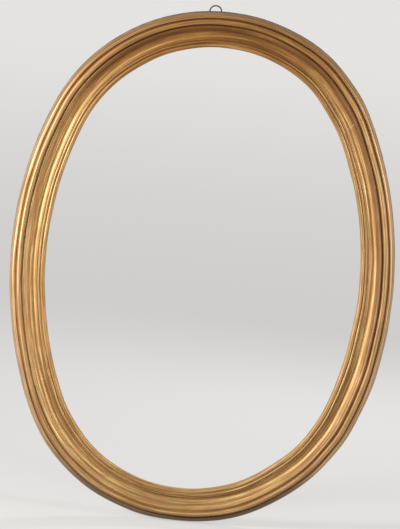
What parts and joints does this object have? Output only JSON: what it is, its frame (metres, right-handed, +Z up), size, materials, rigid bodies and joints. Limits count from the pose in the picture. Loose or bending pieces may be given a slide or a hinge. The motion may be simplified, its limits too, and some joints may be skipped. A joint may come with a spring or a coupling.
{
  "type": "oval picture frame",
  "caption": "Upright oval wooden picture frame: moulded gilded front rails on a keyed plain back, turn buttons behind the rebate, and a swinging iron hanging ring.",
  "frame": {"origin": "centre of the oval opening, on the back plane of the wooden frame", "axes": "+Z up along the oval's long axis, -Y out of the gilded front towards the viewer, +Y towards the wall, +X to the viewer's right"},
  "size_m": [0.7939, 0.0518, 1.0717],
  "materials": {
    "gilding": "water gilding on reddish bole over gesso, rubbed and aged",
    "back_wood": "bare, planed and darkened softwood",
    "key_wood": "bare hardwood, planed flush",
    "button_wood": "bare, worn hardwood",
    "iron": "forged, dark, lightly rusted"
  },
  "bodies": {
    "frame": {"moulding_top": "gilding", "moulding_right": "gilding", "moulding_bottom": "gilding", "moulding_left": "gilding", "back_upper_right": "back_wood", "back_lower_right": "back_wood", "back_lower_left": "back_wood", "back_upper_left": "back_wood", "back_keys": "key_wood", "hanger_strap": "iron", "forged_nails": "iron"},
    "hanging_ring": {"hanging_ring": "iron"},
    "turn_button_upper_right": {"turn_button_upper_right": "button_wood"},
    "turn_button_lower_right": {"turn_button_lower_right": "button_wood"},
    "turn_button_lower_left": {"turn_button_lower_left": "button_wood"},
    "turn_button_upper_left": {"turn_button_upper_left": "button_wood"}
  },
  "joints": [
    {"name": "ring_swing", "type": "hinge", "parent": "frame", "child": "hanging_ring", "pos_m": [-0.018, 0.00387, 0.51755], "axis": [-1, 0, 0], "range_deg": [0, 192]},
    {"name": "button_turn_upper_right", "type": "hinge", "parent": "frame", "child": "turn_button_upper_right", "pos_m": [0.31611, 0.0028, 0.19753], "axis": [0, 1, 0], "continuous": true},
    {"name": "button_turn_lower_right", "type": "hinge", "parent": "frame", "child": "turn_button_lower_right", "pos_m": [0.31611, 0.0028, -0.19753], "axis": [0, 1, 0], "continuous": true},
    {"name": "button_turn_lower_left", "type": "hinge", "parent": "frame", "child": "turn_button_lower_left", "pos_m": [-0.31611, 0.0028, -0.19753], "axis": [0, 1, 0], "continuous": true},
    {"name": "button_turn_upper_left", "type": "hinge", "parent": "frame", "child": "turn_button_upper_left", "pos_m": [-0.31611, 0.0028, 0.19753], "axis": [0, 1, 0], "continuous": true}
  ]
}
